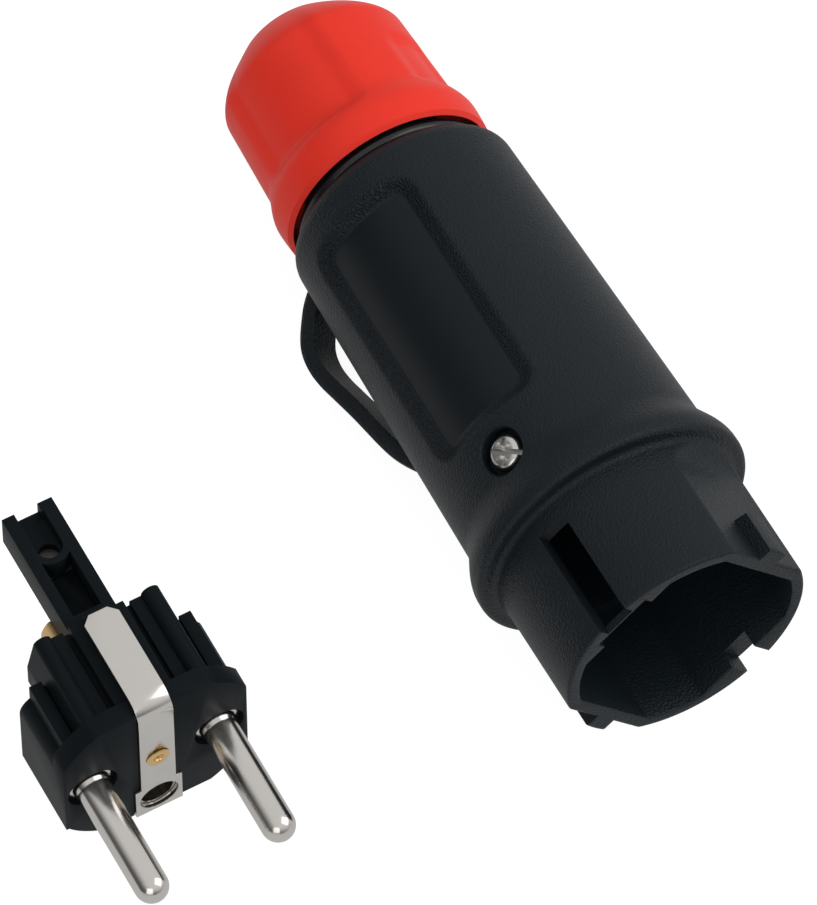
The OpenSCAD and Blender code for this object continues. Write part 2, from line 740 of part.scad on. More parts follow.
// Round spring that presses the socket's split rear together, open at the bottom
module socket_spring() {
    open_w = 4.6;
    color([0.7, 0.7, 0.7]) place_insert() translate([0, 0, -earth_drop]) difference() {
        bar(socket_r + spring_t, spring_x - spring_t / 2, spring_x + spring_t / 2);
        bar(socket_r, spring_x - 1, spring_x + 1);
        translate([-spring_x - 1, -open_w / 2, -insert_h]) cube([2, open_w, insert_h]);
    }
}

module earth_terminal() {
    color("goldenrod") place_insert() difference() {
        translate([-core_len - earth_block_len, earth_block_y, earth_block_z])
            cube([earth_block_len, earth_block_w, earth_block_h]);
        translate([0, 0, rivet_z]) bar(rivet_d / 2, 0, core_len + 2);
        translate([0, 0, rivet_z]) bar(1.5, core_len + 2.4, core_len + earth_block_len + 1);
        translate([-earth_screw_x, 0, rivet_z]) rotate([90, 0, 0])
            cylinder(d = terminal_screw_d, h = earth_block_w);
    }
}

module earth_terminal_screw() {
    reach = 1;
    color("silver") place_insert() translate([-earth_screw_x, -reach, rivet_z]) rotate([90, 0, 0])
        set_screw(-earth_block_y - reach);
}

module tail_nut() {
    color("silver") place_insert() difference() {
        tail_nut_shape(0);
        translate([-screw_x, 0, 0]) cylinder(d = screw_d + 0.1, h = tail_top);
    }
}

housing();
housing_screw();
neck_o_ring();
clamp_basket();
gland_seal();
slip_ring();
cap_nut();
insert_carrier();
pin_left();
pin_right();
terminal_left();
terminal_right();
terminal_screws();
earth_strip();
earth_rivet();
earth_socket();
socket_spring();
earth_terminal();
earth_terminal_screw();
tail_nut();
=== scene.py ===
import bmesh
import bpy
import json
import math
from mathutils import Matrix, Vector

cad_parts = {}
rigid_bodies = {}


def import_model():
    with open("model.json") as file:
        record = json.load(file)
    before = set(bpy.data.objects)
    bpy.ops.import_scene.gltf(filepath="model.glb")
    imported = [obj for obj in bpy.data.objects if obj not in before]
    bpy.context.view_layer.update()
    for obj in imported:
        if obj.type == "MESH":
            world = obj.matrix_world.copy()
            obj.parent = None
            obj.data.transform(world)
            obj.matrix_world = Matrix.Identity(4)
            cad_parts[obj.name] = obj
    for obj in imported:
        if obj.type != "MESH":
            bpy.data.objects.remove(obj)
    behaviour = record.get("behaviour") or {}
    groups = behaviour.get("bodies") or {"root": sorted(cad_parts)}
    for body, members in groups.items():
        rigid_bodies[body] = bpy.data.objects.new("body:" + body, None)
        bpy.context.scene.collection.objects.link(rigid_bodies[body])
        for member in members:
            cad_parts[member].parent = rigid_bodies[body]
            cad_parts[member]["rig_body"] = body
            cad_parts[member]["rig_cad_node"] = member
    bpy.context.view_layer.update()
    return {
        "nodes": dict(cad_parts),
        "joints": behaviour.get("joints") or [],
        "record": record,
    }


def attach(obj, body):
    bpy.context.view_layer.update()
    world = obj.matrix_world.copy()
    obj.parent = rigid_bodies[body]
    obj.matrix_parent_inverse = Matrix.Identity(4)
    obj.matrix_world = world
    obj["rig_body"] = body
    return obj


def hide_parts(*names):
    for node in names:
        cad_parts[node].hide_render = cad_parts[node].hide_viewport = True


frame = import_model()
mm = 0.001
mainBody, nutBody = "housing_and_insert", "cap_nut"
nodes = frame["nodes"]
mounts = {m["name"]: m for m in frame["record"]["mounts"]}
joints = {j["name"]: j for j in frame["joints"]}
print("frame loaded:", len(nodes), "nodes")

# The housing's own axes: x towards the mouth, z towards the fixing screw, origin in the mouth
turnPointBehindMouth = 95
housingX = Vector(joints["cap_nut_turn"]["axis"]).normalized()
housingZ = Vector(mounts["hang_loop"]["axis"]).normalized()
housingY = housingZ.cross(housingX)
mouthPoint = Vector(joints["cap_nut_turn"]["pos_m"]) + housingX * turnPointBehindMouth * mm
housingPlace = Matrix((housingX, housingY, housingZ)).transposed().to_4x4()
housingPlace.translation = mouthPoint
pinLeft, pinRight = (Vector(mounts[n]["pos_m"]) for n in ("live_pin_left", "live_pin_right"))
pinMountForward = 8.3
facePoint = (pinLeft + pinRight) / 2 - Vector((pinMountForward * mm, 0, 0))
insertPlace = Matrix.Translation(facePoint)


# Shader groups

def newGroup(name, inputs, outputs):
    group = bpy.data.node_groups.new(name, "ShaderNodeTree")
    for label, kind, value in inputs:
        socket = group.interface.new_socket(label, in_out="INPUT", socket_type=kind)
        socket.default_value = value
    for label, kind in outputs:
        group.interface.new_socket(label, in_out="OUTPUT", socket_type=kind)
    return group, group.nodes.new("NodeGroupInput"), group.nodes.new("NodeGroupOutput")


def mathNode(tree, operation, *values):  # each value is a number or an output socket
    node = tree.nodes.new("ShaderNodeMath")
    node.operation = operation
    for socket, value in zip(node.inputs, values):
        if isinstance(value, (int, float)):
            socket.default_value = value
        else:
            tree.links.new(value, socket)
    return node.outputs[0]


def noiseNode(tree, detail, vector, scale):
    noise = tree.nodes.new("ShaderNodeTexNoise")
    noise.inputs["Detail"].default_value = detail
    tree.links.new(vector, noise.inputs["Vector"])
    tree.links.new(scale, noise.inputs["Scale"])
    return noise.outputs[0]


def objectCoords(tree):
    return tree.nodes.new("ShaderNodeTexCoord").outputs["Object"]


grainSpec = {"smoothness": 0.6, "detail": 4, "noiseShare": 0.35}


def grainGroup(s=grainSpec):  # pebbled leather grain in object space
    group, given, result = newGroup(
        "leatherGrain", [("Cell Size", "NodeSocketFloat", 0.0005)], [("Height", "NodeSocketFloat")])
    link = group.links.new
    coords = objectCoords(group)
    scale = mathNode(group, "DIVIDE", 1.0, given.outputs["Cell Size"])
    cells = group.nodes.new("ShaderNodeTexVoronoi")
    cells.feature = "SMOOTH_F1"
    cells.inputs["Smoothness"].default_value = s["smoothness"]
    link(coords, cells.inputs["Vector"])
    link(scale, cells.inputs["Scale"])
    wander = noiseNode(group, s["detail"], coords, scale)
    both = mathNode(group, "MULTIPLY_ADD", wander, s["noiseShare"], cells.outputs["Distance"])
    link(both, result.inputs["Height"])
    return group


driftSpec = {"detail": 5, "from": 0.3, "to": 0.7}


def driftGroup(s=driftSpec):  # slow change of tone over a surface, for colour and roughness
    group, given, result = newGroup(
        "toneDrift",
        [("Scale", "NodeSocketFloat", 60.0), ("Low", "NodeSocketFloat", 0.9),
         ("High", "NodeSocketFloat", 1.1)],
        [("Value", "NodeSocketFloat")])
    link = group.links.new
    spread = group.nodes.new("ShaderNodeMapRange")
    spread.inputs["From Min"].default_value = s["from"]
    spread.inputs["From Max"].default_value = s["to"]
    noise = noiseNode(group, s["detail"], objectCoords(group), given.outputs["Scale"])
    link(noise, spread.inputs["Value"])
    link(given.outputs["Low"], spread.inputs["To Min"])
    link(given.outputs["High"], spread.inputs["To Max"])
    link(spread.outputs["Result"], result.inputs["Value"])
    return group


def drawnLinesGroup(detail=3):  # fine lines left by drawing or turning, stretched along one axis
    group, given, result = newGroup(
        "drawnLines", [("Stretch", "NodeSocketVector", (1, 1, 1)), ("Scale", "NodeSocketFloat", 3000.0)],
        [("Height", "NodeSocketFloat")])
    link = group.links.new
    stretch = group.nodes.new("ShaderNodeVectorMath")
    stretch.operation = "MULTIPLY"
    link(objectCoords(group), stretch.inputs[0])
    link(given.outputs["Stretch"], stretch.inputs[1])
    noise = noiseNode(group, detail, stretch.outputs[0], given.outputs["Scale"])
    link(noise, result.inputs["Height"])
    return group


leatherGrain, toneDrift, drawnLines = grainGroup(), driftGroup(), drawnLinesGroup()


def newMaterial(name, color, roughness, metallic=0.0, specular=0.5):
    material = bpy.data.materials.new(name)
    material.use_nodes = True
    shader = material.node_tree.nodes["Principled BSDF"]
    shader.inputs["Base Color"].default_value = (*color, 1)
    shader.inputs["Roughness"].default_value = roughness
    shader.inputs["Metallic"].default_value = metallic
    shader.inputs["Specular IOR Level"].default_value = specular
    return material, shader


def addGroup(material, group, **values):
    node = material.node_tree.nodes.new("ShaderNodeGroup")
    node.node_tree = group
    for label, value in values.items():
        node.inputs[label.replace("_", " ")].default_value = value
    return node


def bumpInto(material, shader, height, distance):
    bump = material.node_tree.nodes.new("ShaderNodeBump")
    bump.inputs["Distance"].default_value = distance
    bump.inputs["Strength"].default_value = 1.0
    material.node_tree.links.new(height, bump.inputs["Height"])
    material.node_tree.links.new(bump.outputs["Normal"], shader.inputs["Normal"])


def tintInto(material, shader, color, factor):
    mix = material.node_tree.nodes.new("ShaderNodeMix")
    mix.data_type = "RGBA"
    mix.blend_type = "MULTIPLY"
    mix.inputs[0].default_value = 1.0
    mix.inputs[6].default_value = (*color, 1)
    spread = material.node_tree.nodes.new("ShaderNodeCombineColor")
    for channel in spread.inputs:
        material.node_tree.links.new(factor, channel)
    material.node_tree.links.new(spread.outputs[0], mix.inputs[7])
    material.node_tree.links.new(mix.outputs[2], shader.inputs["Base Color"])


# the smooth panel's colour factor below is painted shade, standing in for the dark reflection its floor shows
rubberLook = {"color": (0.0072, 0.0118, 0.0154), "roughness": 0.44, "specular": 0.21, "cell": 0.00030,
              "grainDepth": 0.00011, "edgeGrain": 2.8, "panelRoughness": 0.4, "panelPaintedShade": 0.75,
              "drift": {"Scale": 45.0, "Low": 0.92, "High": 1.1}}


def rubberMaterial(s=rubberLook):  # grained, with a smooth panel and coarser grain on its border
    material, shader = newMaterial("housingRubber", s["color"], s["roughness"], specular=s["specular"])
    tree = material.node_tree
    n, link = tree.nodes, tree.links.new
    smooth = n.new("ShaderNodeAttribute")
    smooth.attribute_name = "smoothPanel"
    border = n.new("ShaderNodeAttribute")
    border.attribute_name = "panelEdge"
    grain = addGroup(material, leatherGrain, Cell_Size=s["cell"])
    drift = addGroup(material, toneDrift, **s["drift"])
    rough = mathNode(tree, "SUBTRACT", 1.0, smooth.outputs["Fac"])
    extra = mathNode(tree, "MULTIPLY", border.outputs["Fac"], s["edgeGrain"])
    rough = mathNode(tree, "ADD", rough, extra)
    height = mathNode(tree, "MULTIPLY", grain.outputs["Height"], rough)
    bumpInto(material, shader, height, s["grainDepth"])
    # painted shade: the smooth panel gets a darker base colour, multiplied with the random tone drift
    panelShade = n.new("ShaderNodeMapRange")
    panelShade.inputs["To Min"].default_value = 1.0
    panelShade.inputs["To Max"].default_value = s["panelPaintedShade"]
    link(smooth.outputs["Fac"], panelShade.inputs["Value"])
    shadeAndDrift = mathNode(tree, "MULTIPLY", panelShade.outputs["Result"], drift.outputs["Value"])
    tintInto(material, shader, s["color"], shadeAndDrift)
    gloss = n.new("ShaderNodeMapRange")
    gloss.inputs["To Min"].default_value = s["roughness"]
    gloss.inputs["To Max"].default_value = s["panelRoughness"]
    link(smooth.outputs["Fac"], gloss.inputs["Value"])
    link(gloss.outputs["Result"], shader.inputs["Roughness"])
    return material


def driftingRoughness(material, shader, roughness, scale, low, high):
    drift = addGroup(material, toneDrift, Scale=scale, Low=low, High=high).outputs["Value"]
    rough = mathNode(material.node_tree, "MULTIPLY", drift, roughness)
    material.node_tree.links.new(rough, shader.inputs["Roughness"])
    return drift


def mouldedMaterial(name, color, roughness, cell, depth, low=0.93, high=1.07, specular=0.3, driftScale=70.0):
    material, shader = newMaterial(name, color, roughness, specular=specular)
    grain = addGroup(material, leatherGrain, Cell_Size=cell)
    bumpInto(material, shader, grain.outputs["Height"], depth)
    drift = driftingRoughness(material, shader, roughness, driftScale, low, high)
    tintInto(material, shader, color, drift)
    return material


metalLook = {"lineDepth": 0.000004, "lineScale": 2600.0, "driftScale": 160.0, "low": 0.8, "high": 1.25}


def metalMaterial(name, color, roughness, stretch, s=metalLook):
    material, shader = newMaterial(name, color, roughness, metallic=1.0)
    lines = addGroup(material, drawnLines, Stretch=stretch, Scale=s["lineScale"])
    bumpInto(material, shader, lines.outputs["Height"], s["lineDepth"])
    driftingRoughness(material, shader, roughness, s["driftScale"], s["low"], s["high"])
    return material


looks = {
    "housing_rubber": rubberMaterial(),
    "insert_plastic": mouldedMaterial("insertPlastic", (0.0074, 0.0104, 0.0122), 0.42, 0.0003, 0.000008,
                                      specular=0.04),
    "cap_red": mouldedMaterial("capRed", (0.9, 0.040, 0.022), 0.42, 0.0004, 0.000008, 0.96, 1.03,
                               specular=0.15),
    "nickel": metalMaterial("brightNickel", (0.67, 0.645, 0.61), 0.19, (0.08, 1, 1)),
    "dull_steel": metalMaterial("dullSteel", (0.12, 0.117, 0.112), 0.5, (1, 1, 1)),
    "screw_steel": metalMaterial("screwSteel", (0.66, 0.65, 0.62), 0.24, (1, 1, 0.3)),
    "brass": metalMaterial("turnedBrass", (0.76, 0.52, 0.24), 0.25, (0.2, 1, 1)),
    "seal_rubber": mouldedMaterial("sealRubber", (0.006, 0.006, 0.007), 0.24, 0.0005, 0.000004, specular=0.5),
    "gland_plastic": mouldedMaterial("glandPlastic", (0.02, 0.021, 0.023), 0.4, 0.0004, 0.00001),
}
print("materials made:", len(looks))


# Mesh helpers

def dress(piece, material):
    piece.data.materials.clear()
    piece.data.materials.append(material)


def settle(piece, body, slot, replaced=(), sharpAngle=32):
    for face in piece.data.polygons:
        face.use_smooth = True
    piece.data.set_sharp_from_angle(angle=math.radians(sharpAngle))
    dress(piece, looks[slot])
    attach(piece, body)
    if replaced:
        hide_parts(*replaced)
    return piece


def meshObject(name, points, faces, place):
    mesh = bpy.data.meshes.new(name)
    mesh.from_pydata([place @ (Vector(p) * mm) for p in points], [], faces)
    mesh.validate()
    piece = bpy.data.objects.new(name, mesh)
    bpy.context.scene.collection.objects.link(piece)
    return piece


def facesOut(piece, merge=0.0):
    work = bmesh.new()
    work.from_mesh(piece.data)
    if merge:
        bmesh.ops.remove_doubles(work, verts=work.verts, dist=merge)
    bmesh.ops.recalc_face_normals(work, faces=work.faces)
    work.to_mesh(piece.data)
    work.free()
    return piece


def bake(piece):  # modifiers into the mesh
    bpy.context.view_layer.update()
    made = bpy.data.meshes.new_from_object(piece.evaluated_get(bpy.context.evaluated_depsgraph_get()))
    piece.modifiers.clear()
    piece.data = made
    return piece


def stationRing(x, radius, count, turn=0):  # points round the axis; the radius may follow the angle
    made = []
    for i in range(count):
        angle = 360 * i / count
        r = radius(angle) if callable(radius) else radius
        t = math.radians(angle - turn)
        made.append((-x, r * math.sin(t), r * math.cos(t)))
    return made


def ringSolid(name, rings, place):  # closed section: ring after ring, and the last joins the first
    count = len(rings[0])
    points = [p for ring in rings for p in ring]
    faces = []
    for row in range(len(rings)):
        after = (row + 1) % len(rings)
        for i in range(count):
            j = (i + 1) % count
            faces.append((row * count + i, row * count + j, after * count + j, after * count + i))
    return facesOut(meshObject(name, points, faces, place))


def tubeSolid(name, rings, place):  # rings of points with side faces between them and a cap on each end
    rows, count = len(rings), len(rings[0])
    sides = [(a * count + i, a * count + (i + 1) % count, (a + 1) * count + (i + 1) % count,
              (a + 1) * count + i) for a in range(rows - 1) for i in range(count)]
    caps = [tuple(range(count)), tuple((rows - 1) * count + i for i in range(count))]
    return facesOut(meshObject(name, [p for ring in rings for p in ring], sides + caps, place))


def lathe(name, profile, place, count=64):  # profile of (x, radius) about the local x axis
    rings = [[(x, r * math.sin(2 * math.pi * i / count), r * math.cos(2 * math.pi * i / count))
              for i in range(count)] for x, r in profile]
    return tubeSolid(name, rings, place)


softSpec = {"merge": 0.00001, "flatAngle": 1, "bevelAngle": 35, "segments": 2, "sharpAngle": 38}


def softened(node, width, slot, s=softSpec):  # merged copy of a node with rounded edges
    piece = nodes[node].copy()
    piece.data = nodes[node].data.copy()
    piece.name = "soft_" + node
    piece.parent = None
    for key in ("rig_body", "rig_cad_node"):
        if key in piece:
            del piece[key]
    bpy.context.scene.collection.objects.link(piece)
    facesOut(piece, merge=s["merge"])
    flat = piece.modifiers.new("flat", "DECIMATE")
    flat.decimate_type = "DISSOLVE"
    flat.angle_limit = math.radians(s["flatAngle"])
    edge = piece.modifiers.new("edge", "BEVEL")
    edge.width = width * mm
    edge.segments = s["segments"]
    edge.limit_method = "ANGLE"
    edge.angle_limit = math.radians(s["bevelAngle"])
    edge.use_clamp_overlap = True
    bake(piece)
    return settle(piece, mainBody, slot, (node,), sharpAngle=s["sharpAngle"])


def smoothStep(t):
    t = min(1.0, max(0.0, t))
    return t * t * (3 - 2 * t)


# Housing: outer skin, rim, mouth, chamber and neck as one closed section of rings
housingSpec = {
    "sleeveR": 18.0, "flatY": 16.0, "flatLen": 15.8, "flatRampR": 4.0, "ribHalfW": 2.0, "ribLen": 6.8,
    "collarR": 20.5, "collarX": 19.8, "collarLand": 1.6, "collarSlope": 6.8, "collarEdge": 0.9,
    "bodyFrontR": 18.3, "bodyRearR": 16.9, "bodyLen": 81.0, "shoulderR": 3.0,
    "seatR": 12.7, "seatLen": 3.5, "threadR": 10.8, "threadDepth": 0.55, "neckEnd": 98.0,
    "neckBoreR": 8.5, "passageR": 6.5, "sealFront": 91.5, "chamberR": 14.3, "chamberEnd": 76.0,
    "mouthDepth": 18.2, "mouthR": 16.1, "mouthY": 14.0, "mouthZ": 13.9, "stripHalfW": 4.5, "stripZ": 15.4,
    "panelFront": 35.0, "panelRear": 75.2, "panelHalfAngle": 33.5, "panelBorder": 2.3, "panelDepth": 1.45,
    "panelCorner": 3.8, "windowW": 4.7, "windowLen": 16.8, "bridgeLen": 1.1, "bridgeT": 0.5,
    "notchW": 4.3, "notchDepth": 2.7, "screwX": 30.3, "seatHoleR": 3.3, "seatDepth": 2.4,
    "bossR": 3.4, "bossBottom": 10.4, "angles": 360, "bodyStep": 0.4, "sleeveStep": 0.35,
    "rimOuter": ((0.4, 0), (0.16, 0.08), (0.0, 0.34)), "rimInner": ((0.0, 0.3), (0.1, 0.08), (0.32, 0.0)),
    "seatChamfer": ((1.9, 0), (2.3, 0.25)), "cutTop": 24, "cutInside": 8,
    "maskFrom": 30, "maskTo": 78, "maskOutside": 0.6, "floorFrom": 0.92, "floorFade": 0.16,
    "edgeRise": 0.3, "edgeFrom": 0.8, "edgeFade": 0.2, "neckEdge": 0.5, "seatEdge": 0.2, "seatGap": 0.15}


def bodyRadius(x, s=housingSpec):
    start = s["collarX"] + s["collarLand"] + s["collarSlope"]
    end = s["bodyLen"] - s["shoulderR"]
    return s["bodyFrontR"] + (s["bodyRearR"] - s["bodyFrontR"]) * (x - start) / (end - start)


def roundRectDistance(x, y, halfX, halfY, corner):  # negative inside
    dx, dy = abs(x) - halfX + corner, abs(y) - halfY + corner
    return math.hypot(max(dx, 0), max(dy, 0)) + min(max(dx, dy), 0) - corner


def panelDistance(x, angle, s=housingSpec):  # mm inside the panel's outer edge
    middle = (s["panelFront"] + s["panelRear"]) / 2
    arcLength = bodyRadius(x) * math.radians(angle)
    half = bodyRadius(middle) * math.radians(s["panelHalfAngle"])
    halfLength = (s["panelRear"] - s["panelFront"]) / 2
    return -roundRectDistance(x - middle, arcLength, halfLength, half, s["panelCorner"])


def sleeveRadius(x, angle, s=housingSpec):  # angle from the screw side
    across, up = math.sin(math.radians(angle)), math.cos(math.radians(angle))
    r = s["sleeveR"]
    if x > s["collarX"] - 0.01 or (x < s["ribLen"] and abs(r * up) < s["ribHalfW"]):
        return r
    past = max(0.0, x - s["flatLen"])
    ramp = s["flatRampR"] - math.sqrt(max(0.0, s["flatRampR"] ** 2 - past ** 2))
    return min(r, (s["flatY"] + ramp) / max(abs(across), 1e-6))


def mouthRadius(angle, s=housingSpec):
    across, up = abs(math.sin(math.radians(angle))), math.cos(math.radians(angle))
    r = min(s["mouthR"], s["mouthY"] / max(across, 1e-6), s["mouthZ"] / max(abs(up), 1e-6))
    if up > 0 and r * across < s["stripHalfW"] + 0.3:
        r = max(r, min(s["stripZ"] / up, (s["stripHalfW"]) / max(across, 1e-6)))
    return r


def neckRings(s=housingSpec):
    core, seat = s["threadR"] - s["threadDepth"], s["bodyLen"] + s["seatLen"]
    end, edge = s["neckEnd"], s["seatEdge"]
    return [(end, s["neckBoreR"]), (end, core - s["neckEdge"]), (end - s["neckEdge"], core),
            (seat, core), (seat, s["seatR"] - edge), (seat - edge, s["seatR"]),
            (s["bodyLen"] + s["seatGap"], s["seatR"]), (s["bodyLen"], s["seatR"] + edge)]


def chamberRings(s=housingSpec):
    return [(s["mouthDepth"] + 0.5, s["chamberR"]), (40, s["chamberR"]),
            (s["chamberEnd"] - 1, s["chamberR"]), (s["chamberEnd"], s["chamberR"] - 1),
            (s["chamberEnd"], s["passageR"]), (s["sealFront"], s["passageR"]),
            (s["sealFront"], s["neckBoreR"])]


def housingRings(s=housingSpec):  # outside from the neck to the mouth, then inside back to the neck
    def ring(x, radius):
        return stationRing(x, radius, s["angles"])

    rings = [ring(x, r) for x, r in neckRings()]
    foot, shoulderX = s["bodyRearR"] - s["shoulderR"], s["bodyLen"] - s["shoulderR"]
    for i in range(11):
        a = math.radians(90 - 9 * i)
        rings.append(ring(shoulderX + s["shoulderR"] * math.sin(a), foot + s["shoulderR"] * math.cos(a)))
    collarBack = s["collarX"] + s["collarLand"]
    x = shoulderX - s["bodyStep"]
    while x > collarBack + s["collarSlope"]:
        def bodySkin(a, x=x):
            a = (a + 180) % 360 - 180
            sink = smoothStep(panelDistance(x, a) / s["panelBorder"]) if abs(a) < 50 else 0
            return bodyRadius(x) - s["panelDepth"] * sink
        rings.append(ring(x, bodySkin))
        x -= s["bodyStep"]
    slopeSteps = 18
    for i in range(slopeSteps, -1, -1):
        t = i / slopeSteps
        rise = (1 + math.cos(math.pi * t)) / 2
        rings.append(ring(collarBack + s["collarSlope"] * t,
                          s["bodyFrontR"] + (s["collarR"] - s["bodyFrontR"]) * rise))
    e = s["collarEdge"]
    for i in range(7):
        a = math.radians(15 * i)
        rings.append(ring(s["collarX"] + e - e * math.sin(a), s["collarR"] - e + e * math.cos(a)))
    for i in range(6):
        a = math.radians(90 - 18 * i)
        x, lift = s["collarX"] - e + e * math.sin(a), e - e * math.cos(a)
        rings.append(ring(x, lambda a, x=x, lift=lift: sleeveRadius(x, a) + lift))
    x = s["collarX"] - e - 0.3
    while x > 0.45:
        rings.append(ring(x, lambda a, x=x: sleeveRadius(x, a)))
        x -= s["sleeveStep"]
    for x, back in s["rimOuter"]:
        rings.append(ring(x, lambda a, back=back: sleeveRadius(s["rimOuter"][0][0], a) - back))
    for x, out in s["rimInner"]:
        rings.append(ring(x, lambda a, out=out: mouthRadius(a) + out))
    rings += [ring(x, mouthRadius) for x in (4, 8, 12, 16, s["mouthDepth"])]
    rings.append(ring(s["mouthDepth"], lambda a: min(s["chamberR"], mouthRadius(a))))
    return rings + [ring(x, r) for x, r in chamberRings()]


def boxMesh(name, low, high, place):
    points = [(x, y, z) for x in (low[0], high[0]) for y in (low[1], high[1]) for z in (low[2], high[2])]
    faces = [(0, 1, 3, 2), (4, 6, 7, 5), (0, 4, 5, 1), (2, 3, 7, 6), (0, 2, 6, 4), (1, 5, 7, 3)]
    return facesOut(meshObject(name, points, faces, place))


def cutWith(piece, cutters, operation="DIFFERENCE"):
    for cutter in cutters:
        step = piece.modifiers.new("cut", "BOOLEAN")
        step.operation = operation
        step.solver = "EXACT"
        step.object = cutter
    bake(piece)
    for cutter in cutters:
        bpy.data.objects.remove(cutter)
    return piece


def standing(x, y):  # local frame whose x axis points along the housing's z, over a place on the axis
    return housingPlace @ Matrix.Translation(Vector((x, y, 0)) * mm) @ Matrix.Rotation(-math.pi / 2, 4, "Y")


def buildHousing(s=housingSpec):
    skin = ringSolid("housing_skin", housingRings(), housingPlace)
    over, inside = s["cutTop"], s["cutInside"]
    seatZ = bodyRadius(s["screwX"]) - s["seatDepth"]
    half, notch = s["windowW"] / 2, s["notchW"] / 2
    seat = [(seatZ, s["seatHoleR"])]
    seat += [(seatZ + up, s["seatHoleR"] + wider) for up, wider in s["seatChamfer"]]
    seat.append((over, s["seatHoleR"] + 0.6))
    cutters = [
        boxMesh("cutWindow", (-s["windowLen"], -half, inside), (-s["bridgeLen"], half, over), housingPlace),
        boxMesh("cutBridge", (-s["bridgeLen"] - 0.1, -half, s["stripZ"] + s["bridgeT"]), (1, half, over),
                housingPlace),
        boxMesh("cutNotch", (-s["notchDepth"], -notch, -over), (1, notch, -inside), housingPlace),
        lathe("cutSeat", seat, standing(-s["screwX"], 0)),
    ]
    cutWith(skin, cutters)
    boss = lathe("housing_boss", [(s["bossBottom"], s["bossR"]), (seatZ - 0.2, s["bossR"])],
                 standing(-s["screwX"], 0), 48)
    back = housingPlace.inverted()
    # smoothPanel marks the smooth panel floor: it takes off the grain, changes the roughness and carries the
    # panel's painted shade
    smooth = skin.data.attributes.new("smoothPanel", "FLOAT", "POINT")
    border = skin.data.attributes.new("panelEdge", "FLOAT", "POINT")
    for vertex, floorValue, edgeValue in zip(skin.data.vertices, smooth.data, border.data):
        local = back @ vertex.co / mm
        x, angle = -local.x, math.degrees(math.atan2(local.y, local.z))
        outside = math.hypot(local.y, local.z) > s["chamberR"] + s["maskOutside"]
        if outside and s["maskFrom"] < x < s["maskTo"]:
            depthIn = panelDistance(x, angle) / s["panelBorder"]
            floorValue.value = smoothStep((depthIn - s["floorFrom"]) / s["floorFade"])
            fade = smoothStep((depthIn - s["edgeFrom"]) / s["edgeFade"])
            edgeValue.value = smoothStep(depthIn / s["edgeRise"]) * (1 - fade)
    settle(skin, mainBody, "housing_rubber", ("housing",), sharpAngle=30)
    settle(boss, mainBody, "housing_rubber")


loopSpec = {"width": 6.0, "thick": 2.4, "edge": 0.8, "cornerShare": 0.3, "backShare": 0.5,
            "outer": [(44.5, 17.3), (48.5, 19.4), (52.4, 20.7), (59.7, 22.0), (64.5, 23.0), (67.0, 23.5),
                      (69.7, 23.7), (72.3, 23.3), (74.4, 22.3), (76.8, 20.3), (78.4, 18.6), (79.6, 16.6),
                      (79.9, 14.8)]}


def smoothPath(points, steps=6):
    path = []
    for i in range(len(points) - 1):
        p0, p1, p2, p3 = (Vector(points[max(0, min(len(points) - 1, i + k))]) for k in (-1, 0, 1, 2))
        for k in range(steps):
            t = k / steps
            path.append(0.5 * ((2 * p1) + (p2 - p0) * t + (2 * p0 - 5 * p1 + 4 * p2 - p3) * t * t
                               + (3 * p1 - p0 - 3 * p2 + p3) * t ** 3))
    return path + [Vector(points[-1])]


def buildLoop(s=loopSpec):
    outer = smoothPath(s["outer"])
    half, e = s["width"] / 2, s["edge"]
    low, corner, back = -s["thick"], e * s["cornerShare"], e * s["backShare"]
    section = [(half, -e), (half - corner, -corner), (half - e, 0), (e - half, 0),
               (corner - half, -corner), (-half, -e), (-half, low + e), (back - half, low),
               (half - back, low), (half, low + e)]
    rings = []
    for i, point in enumerate(outer):
        way = (outer[min(i + 1, len(outer) - 1)] - outer[max(i - 1, 0)]).normalized()
        normal = Vector((-way.y, way.x))
        rings.append([(-(point.x + normal.x * d), -(point.y + normal.y * d), w) for w, d in section])
    settle(tubeSolid("hang_strap", rings, housingPlace), mainBody, "housing_rubber")


buildHousing()
buildLoop()
print("housing built")


# Cap nut: round stations with two broad and two narrow sunken grips
nutSpec = {"front": 82.6, "len": 28.6, "skirtR": 15.9, "lipR": 15.1, "creaseR": 15.74, "lipLen": 0.6,
           "barrelR": 14.6, "barrelRearR": 14.0, "beadLen": 3.8, "waistLen": 9.0, "domeLen": 6.8,
           "domePower": 1.45, "endR": 7.9, "turn": -1.9, "wall": 3.3, "endSteeper": 1.5, "corner": 3.4,
           "broadGrip": (40.6, 88.0, 124.0, 0.75), "narrowGrip": (23.0, 89.0, 99.8, 0.7),
           "skirtBoreR": 15.0, "skirtBoreEnd": 86.2, "boreR": 11.1, "shoulder": 106.55,
           "cordR": 7.0, "threadDepth": 0.5, "lead": 1.5, "angles": 288,
           "lipStations": (0, 0.3, 0.5, 0.58, 0.68, 0.9, 1.25), "skinFrom": 1.6, "skinStep": 0.3,
           "crown": 2.6, "crownSteps": 14, "threadStep": 0.15, "threadStart": 2, "threadStop": 0.4,
           "frontGap": 0.02, "endEdge": ((0, 0.5), (0.15, 0.15), (0.5, 0)),
           "skirtEdge": ((0.35, 0), (0.02, 0.12))}


